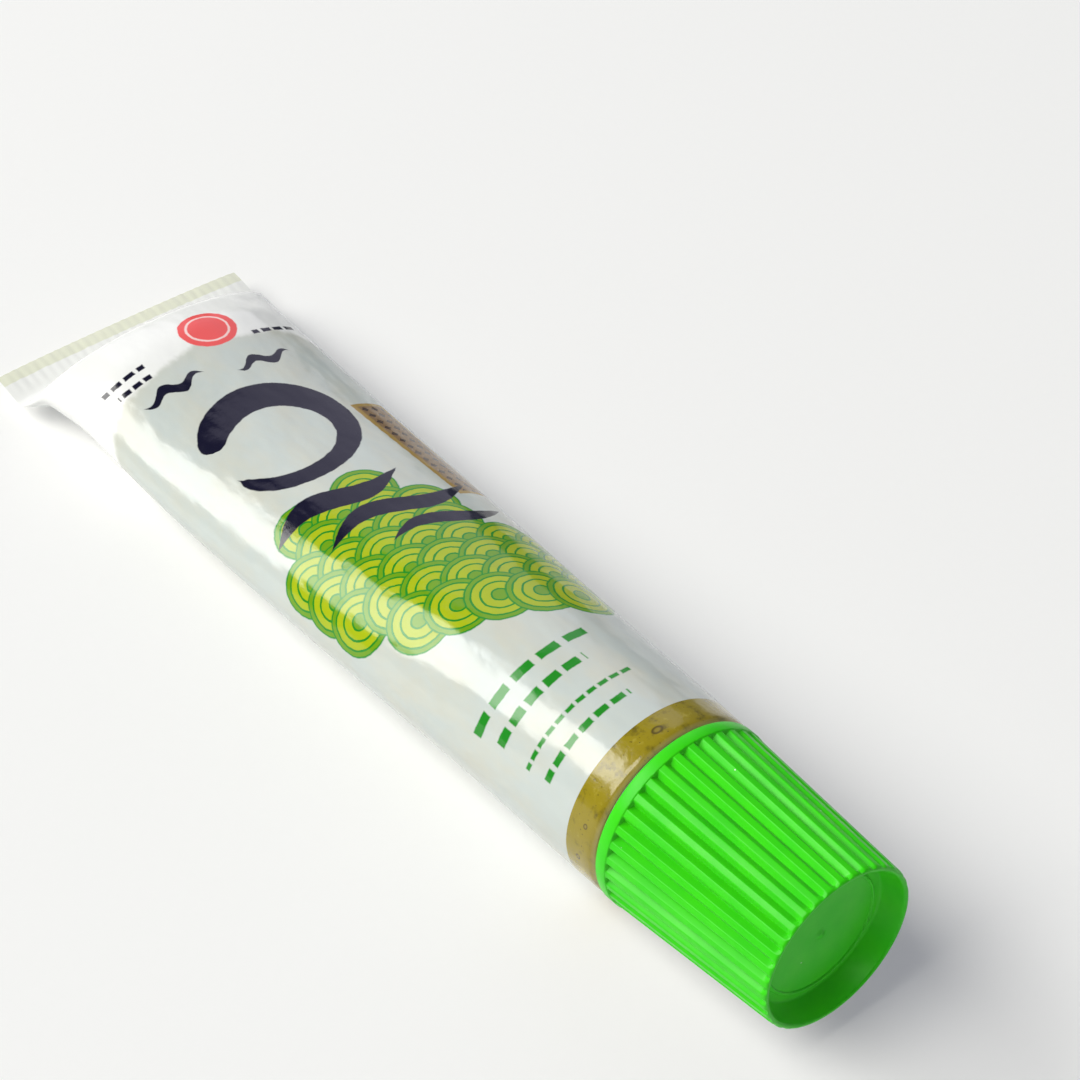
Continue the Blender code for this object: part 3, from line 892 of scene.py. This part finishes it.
def thread_tree():
    """Sweeps a trapezoid along a right-hand helix about X, thinning out at both ends."""
    names = ("Radius", "Pitch", "Turns", "Start", "Height", "Root", "Crest", "Embed")
    sockets = [(label, "Float") for label in names] + [("Steps", "Int"), ("Finish", "Material")]
    tree, given = new_tree("Screw thread", sockets)
    steps = add(tree, MATH, (given["Turns"], given["Steps"]), "MULTIPLY")
    line = add(tree, "GeometryNodeCurvePrimitiveLine")
    line = add(tree, "GeometryNodeResampleCurve", {"Curve": line, "Count": steps})
    share = add(tree, "GeometryNodeSplineParameter", output="Factor")
    turns = add(tree, MATH, (share, given["Turns"]), "MULTIPLY")
    angle = add(tree, MATH, (turns, 2 * math.pi), "MULTIPLY")
    y = add(tree, MATH, (angle,), "COSINE")
    y = add(tree, MATH, (y, given["Radius"]), "MULTIPLY")
    z = add(tree, MATH, (angle,), "SINE")
    z = add(tree, MATH, (z, given["Radius"]), "MULTIPLY")
    x = add(tree, MATH, (turns, given["Pitch"], given["Start"]), "MULTIPLY_ADD")
    # The helix stands on Z first, where its normals can be kept level, and is then laid along X
    place = add(tree, COMBINE, (y, z, x))
    helix = add(tree, "GeometryNodeSetPosition", {"Geometry": line, "Position": place})
    helix = add(tree, "GeometryNodeSetCurveNormal", {"Curve": helix}, mode="Z_UP")
    corners = {}
    for height, width, side in THREAD_CORNERS:
        half = add(tree, MATH, (given[width], side), "MULTIPLY")
        corner = add(tree, COMBINE, (given[height], half, 0.0))
        corners[f"Point {len(corners) + 1}"] = corner
    section = add(tree, "GeometryNodeCurvePrimitiveQuadrilateral", corners, mode="POINTS")
    thinning = add(tree, CURVE, {"Value": share}, stops=THREAD_ENDS)
    sweep = {"Curve": helix, "Profile Curve": section, "Scale": thinning, "Fill Caps": True}
    ridge = add(tree, "GeometryNodeCurveToMesh", sweep)
    laid = add(tree, "GeometryNodeTransform", {"Geometry": ridge, "Rotation": (0.0, math.pi / 2, 0.0)})
    return end_tree(tree, laid, given["Finish"])


def groove_share(s, crest):
    """Depth of the V groove at a share of a rib's pitch: 0 on the crest, 1 at the bottom, both eased."""
    down = (1 - crest - abs(2 * s - 1)) / (1 - crest)
    if abs(down) < EDGE_ROUND:
        down = (down + EDGE_ROUND) ** 2 / (4 * EDGE_ROUND)
    return max(down, 0.0) - max(down - 1 + EDGE_ROUND, 0.0) ** 2 / (4 * EDGE_ROUND)


def cap_outline(cap):
    """The cap's closed (x, radius, groove depth) outline, from the axis over the skirt and back inside.

    The small amounts added to and taken from its corners round them off.
    """
    rim, lip, front = cap.rim_radius / MM, cap.lip_radius / MM, cap.length / MM
    collar, rib_front, depth = cap.collar / MM, cap.rib_front / MM, cap.rib_depth / MM

    def over_crests(x):
        return rim + (lip - rim) * x / front

    sunk = FLOOR - FLOOR_SUNK
    gate = FLOOR + GATE_HEIGHT
    outline = [(gate, 0.0, 0), (gate, GATE_RADIUS - 0.12, 0), (FLOOR + 0.02, GATE_RADIUS, 0)]
    outline += [(FLOOR, 1.0, 0), (FLOOR, BEAD_RADIUS - 1.5, 0), (FLOOR, BEAD_RADIUS - 0.32, 0)]
    for degrees in range(0, 181, 36):
        angle = math.radians(degrees)
        base = FLOOR - FLOOR_SUNK * degrees / 180
        radius = BEAD_RADIUS - BEAD_HALF_WIDTH * math.cos(angle)
        outline.append((base + BEAD_HEIGHT * math.sin(angle), radius, 0))
    outline += [(sunk, BEAD_RADIUS + 0.34, 0), (sunk, FLOOR_RADIUS - 0.25, 0)]
    outline += [(sunk + 0.07, FLOOR_RADIUS - 0.08, 0), (sunk + 0.25, FLOOR_RADIUS, 0)]
    middle, round_off = lip - LIP_WALL / 2, LIP_WALL / 2
    for degrees in range(180, -1, -20):
        angle = math.radians(degrees)
        shallow = 0.35 * depth * max(math.cos(1.5 * angle), 0.0) if degrees < 60 else 0.0
        x, radius = front - round_off + round_off * math.sin(angle), middle + round_off * math.cos(angle)
        outline.append((x, radius, shallow))
    start, gain = RUN_OUT_SHARES
    for i in range(RUN_OUT_STEPS + 1):
        t = i / RUN_OUT_STEPS
        x = rib_front - RUN_OUT * t
        outline.append((x, over_crests(x), depth * (start + gain * math.sqrt(1 - (1 - t) ** 2))))
    straight = rib_front - RUN_OUT - collar - 0.2
    for i in range(1, GROOVE_STEPS + 1):
        x = rib_front - RUN_OUT - straight * i / GROOVE_STEPS
        outline.append((x, over_crests(x), depth * (0.8 + 0.2 * i / GROOVE_STEPS)))
    foot = over_crests(collar)
    outline += [(collar + 0.08, foot, depth * 0.96), (collar + 0.02, foot, 0.06)]
    outline += [(collar - 0.04, rim - 0.03, 0), (collar - 0.18, rim, 0), (0.22, rim, 0)]
    outline += [(0.08, rim - 0.05, 0), (0.0, rim - 0.2, 0), (0.0, rim - SKIRT_WALL - depth, 0)]
    inside = FLOOR - FLOOR_THICKNESS
    bore = chimney_bore()
    skirt_bore = over_crests(inside) - SKIRT_WALL - depth
    outline += [
        (inside - 0.9, skirt_bore, 0),
        (inside - 0.8, skirt_bore - 0.1, 0),
        (inside - 0.8, CHIMNEY_RADIUS, 0),
        (CHIMNEY_REAR + 0.15, CHIMNEY_RADIUS - 0.25, 0),
        (CHIMNEY_REAR, CHIMNEY_RADIUS - 0.4, 0),
        (CHIMNEY_REAR, bore + 0.15, 0),
        (CHIMNEY_REAR + 0.15, bore, 0),
        (inside, bore, 0),
        (inside, 0.0, 0),
    ]
    return outline


def chimney_bore():
    """Bore of the cap's chimney, clear of the neck's thread."""
    head = bpy.context.scene.tube_head
    return (head.neck_radius + head.thread_height) / MM + THREAD_CLEARANCE


def rib_sector(cap):
    """One rib's slice of the whole cap, from the axis out over the skirt and back to the axis."""
    outline, pitch = cap_outline(cap), 2 * math.pi / cap.rib_count
    points, rows, faces = [], [], []
    for x, radius, depth in outline:
        if radius == 0:
            rows.append([len(points)])
            points.append((x, 0.0, 0.0))
            continue
        rows.append(range(len(points), len(points) + len(RIB_COLUMNS)))
        for s in RIB_COLUMNS:
            r = radius - depth * groove_share(s, cap.crest)
            points.append((x, r * math.cos(s * pitch), r * math.sin(s * pitch)))
    for first, second in zip(rows, rows[1:]):
        for i in range(len(RIB_COLUMNS) - 1):
            corners = [first[min(i, len(first) - 1)], first[min(i + 1, len(first) - 1)]]
            corners += [second[min(i + 1, len(second) - 1)], second[min(i, len(second) - 1)]]
            faces.append(list(dict.fromkeys(corners)))
    return mesh_from("rib sector", points, faces)


def turned(name, outline):
    """The closed skin that a closed (x, radius) outline sweeps round the axis."""
    points, faces = [], []
    for ring, (x, radius) in enumerate(outline):
        for i in range(ROUND_COLUMNS):
            angle = 2 * math.pi * i / ROUND_COLUMNS
            points.append((x, radius * math.cos(angle), radius * math.sin(angle)))
        faces += band(ring, (ring + 1) % len(outline), ROUND_COLUMNS)
    return mesh_from(name, points, faces)


def thread(radius, outwards, start, finish):
    """A ridge of the shared thread on a wall of that radius, standing outwards (1) or inwards (-1)."""
    head = bpy.context.scene.tube_head
    values = {
        "Radius": radius,
        "Pitch": head.pitch / MM,
        "Turns": head.thread_turns,
        "Start": start,
        "Height": outwards * head.thread_height / MM,
        "Root": THREAD_ROOT,
        "Crest": THREAD_CREST,
        "Embed": -outwards * THREAD_EMBED,
        "Steps": THREAD_STEPS,
        "Finish": finish,
    }
    tree = bpy.data.node_groups.get("Screw thread") or thread_tree()
    return grown("thread", bpy.data.meshes.new("thread"), tree, values)


def joined(name, meshes, finish):
    """Closed meshes with one finish put together in one mesh, faces outwards."""
    bm = bmesh.new()
    for mesh in meshes:
        face_outwards(mesh)
        bm.from_mesh(mesh)
    for face in bm.faces:
        face.material_index = 0
    whole = bpy.data.meshes.new(name)
    bm.to_mesh(whole)
    bm.free()
    whole.materials.append(finish)
    return whole


class BuildTubeSleeve(bpy.types.Operator):
    """Build the printed sleeve with its sealed tail and clear band"""

    bl_idname = "squeeze_tube.sleeve"
    bl_label = "Sleeve"

    def execute(self, context):
        sleeve = context.scene.tube_sleeve
        points, faces, uvs, indices = sleeve_skin(sleeve)
        mesh = mesh_from("printed_sleeve", points, faces)
        layer = mesh.uv_layers.new(name="Film")
        layer.data.foreach_set("uv", np.array(uvs, np.float32).ravel())
        mesh.materials.append(printed_laminate(sleeve))
        mesh.materials.append(paste_behind_film(context.scene.tube_paste))
        mesh.polygons.foreach_set("material_index", indices)
        face_outwards(mesh)
        smooth(mesh)
        settle("printed_sleeve", mesh, "tube", "tube_sleeve")
        return {"FINISHED"}


class BuildTubeHead(bpy.types.Operator):
    """Build the shoulder, threaded neck and nozzle"""

    bl_idname = "squeeze_tube.head"
    bl_label = "Head"

    def execute(self, context):
        head = context.scene.tube_head
        neck, bore, tip = head.neck_radius / MM, head.neck_bore / MM, head.nozzle_tip / MM
        finish = moulded_plastic(
            "moulded natural polyethylene",
            head.natural,
            srgb("#DCDCCF"),
            roughness=0.36,
            ior=1.51,
            subsurface_weight=0.25,
            subsurface_scale=0.002,
        )
        outside = HEAD_OUTSIDE + (
            (NECK_FRONT - 0.4, neck),
            (NECK_FRONT - 0.12, neck - 0.12),
            (NECK_FRONT, neck - 0.4),
            (NECK_FRONT, NOZZLE_BASE_RADIUS + 0.25),
            (NECK_FRONT + 0.25, NOZZLE_BASE_RADIUS),
            (NOZZLE_FRONT - 0.35, tip),
            (NOZZLE_FRONT - 0.1, tip - 0.1),
            (NOZZLE_FRONT, tip - 0.35),
        )
        inside = (
            (NOZZLE_FRONT, NOZZLE_BORE),
            (NECK_FRONT + 0.4, NOZZLE_BORE + 0.5),
            (NECK_FRONT - HEAD_WALL, bore),
            (HEAD_OUTSIDE[-1][0] - HEAD_WALL, bore),
            (-0.35 - HEAD_WALL, HEAD_OUTSIDE[0][1] - 1.0 - HEAD_WALL / 2),
            (HEAD_OUTSIDE[0][0], HEAD_OUTSIDE[0][1] - 0.9),
        )
        ridge = thread(neck, 1, head.thread_start / MM, finish)
        mesh = joined("threaded_head", [turned("head", outside + inside), ridge], finish)
        smooth(mesh, 35)
        settle("threaded_head", mesh, "tube", "tube_head")
        return {"FINISHED"}


class FinishTubeFilling(bpy.types.Operator):
    """Give the paste, the foil seal and the cap's liner their finishes"""

    bl_idname = "squeeze_tube.filling"
    bl_label = "Paste, Seal and Liner"

    def execute(self, context):
        finishes = {
            "wasabi_paste": grated_paste(context.scene.tube_paste),
            "foil_seal": rolled_foil(),
            "cap_liner": foamed_liner(),
        }
        for node, finish in finishes.items():
            for slot in frame["nodes"][node].material_slots:
                slot.material = finish
        return {"FINISHED"}


class BuildTubeCap(bpy.types.Operator):
    """Build the ribbed screw cap with its dished front and threaded chimney"""

    bl_idname = "squeeze_tube.cap"
    bl_label = "Screw Cap"

    def execute(self, context):
        cap, head = context.scene.tube_cap, context.scene.tube_head
        finish = moulded_plastic(
            "moulded green polypropylene",
            cap.green,
            srgb("#2FD202"),
            roughness=0.38,
            ior=1.49,
            specular_ior_level=0.3,
        )
        values = {"Ribs": cap.rib_count, "Weld": WELD, "Finish": finish}
        skin = grown("cap skin", rib_sector(cap), rib_ring_tree(), values)
        start = (head.thread_start + head.pitch / 2) / MM
        ridge = thread(chimney_bore(), -1, start, finish)
        mesh = joined("ribbed_cap", [skin, ridge], finish)
        smooth(mesh)
        piece = settle("ribbed_cap", mesh, "cap", "screw_cap")
        # The table stays neutral: the cap throws shadows but no green light
        piece.visible_diffuse = False
        return {"FINISHED"}


def aim(thing, target, azimuth, elevation, distance, roll=0.0):
    """Puts a camera or light at a bearing from its target, and turns it to face it."""
    back = Vector(
        (
            math.sin(azimuth) * math.cos(elevation),
            -math.cos(azimuth) * math.cos(elevation),
            math.sin(elevation),
        )
    )
    level = Vector((math.cos(azimuth), math.sin(azimuth), 0.0))
    right = math.cos(roll) * level + math.sin(roll) * back.cross(level)
    up = back.cross(right)
    turn = Matrix((right, up, back)).transposed().to_4x4()
    thing.matrix_world = Matrix.Translation(target + back * distance) @ turn


def soft_box(name, place, power, tint):
    """A rectangular area light that faces the tube's middle."""
    azimuth, elevation, distance, wide, tall = place
    lamp = bpy.data.lights.new(name, "AREA")
    lamp.shape = "RECTANGLE"
    lamp.size, lamp.size_y = wide, tall
    lamp.energy = power
    lamp.color = srgb(tint)[:3]
    aim(placed(name, lamp), LIGHT_TARGET, math.radians(azimuth), math.radians(elevation), distance)


class BuildTubeStage(bpy.types.Operator):
    """Lay the pale floor, and set the soft lights and the camera"""

    bl_idname = "squeeze_tube.stage"
    bl_label = "Stage"

    def execute(self, context):
        scene, stage = context.scene, context.scene.tube_stage
        corners = [(TABLE_HALF * x, TABLE_HALF * y, 0.0) for x, y in ((-1, -1), (1, -1), (1, 1), (-1, 1))]
        floor = placed("floor", mesh_from("floor", corners, [(0, 1, 2, 3)]))
        floor.data.materials.append(opal_table(stage))

        world = bpy.data.worlds.new("white room")
        world.use_nodes = True
        background = world.node_tree.nodes["Background"]
        background.inputs["Color"].default_value = srgb("#E6EFFF")
        background.inputs["Strength"].default_value = stage.ambient
        scene.world = world
        soft_box("key", KEY, stage.key_power, "#FFFEF8")
        soft_box("panel", PANEL, stage.panel_power, "#EFEAFF")
        soft_box("side", SIDE, stage.side_power, "#FFFDF4")

        lens = bpy.data.cameras.new("camera")
        lens.lens = stage.lens
        lens.sensor_width = 36.0
        lens.clip_start, lens.clip_end = 0.01, 20.0
        camera = placed("camera", lens)
        aim(camera, CAMERA_TARGET, stage.azimuth, stage.elevation, stage.distance, stage.roll)
        scene.camera = camera
        scene.view_settings.view_transform = "Standard"
        return {"FINISHED"}


class SqueezeTubePanel(bpy.types.Panel):
    """The tube's pieces and their sizes"""

    bl_idname = "VIEW3D_PT_squeeze_tube"
    bl_label = "Squeeze Tube"
    bl_space_type = "VIEW_3D"
    bl_region_type = "UI"
    bl_category = "Squeeze Tube"

    def draw(self, context):
        for operator, group, _ in STEPS:
            box = self.layout.box()
            box.operator(operator.bl_idname)
            settings = getattr(context.scene, group)
            for name in settings.bl_rna.properties.keys():
                if name not in ("rna_type", "name"):
                    box.prop(settings, name)


STEPS = (
    (BuildTubeSleeve, "tube_sleeve", TubeSleeveSettings),
    (BuildTubeHead, "tube_head", TubeHeadSettings),
    (FinishTubeFilling, "tube_paste", TubePasteSettings),
    (BuildTubeCap, "tube_cap", TubeCapSettings),
    (BuildTubeStage, "tube_stage", TubeStageSettings),
)


def register():
    """Registers the operators, their settings and the panel."""
    for operator, name, group in STEPS:
        bpy.utils.register_class(group)
        bpy.utils.register_class(operator)
        setattr(bpy.types.Scene, name, bpy.props.PointerProperty(type=group))
    bpy.utils.register_class(SqueezeTubePanel)


def unregister():
    """Takes back what register added."""
    bpy.utils.unregister_class(SqueezeTubePanel)
    for operator, name, group in reversed(STEPS):
        delattr(bpy.types.Scene, name)
        bpy.utils.unregister_class(operator)
        bpy.utils.unregister_class(group)


def main():
    """Builds the tube and its stage."""
    register()
    bpy.ops.squeeze_tube.sleeve()
    bpy.ops.squeeze_tube.head()
    bpy.ops.squeeze_tube.filling()
    bpy.ops.squeeze_tube.cap()
    bpy.ops.squeeze_tube.stage()


if __name__ == "__main__":
    main()
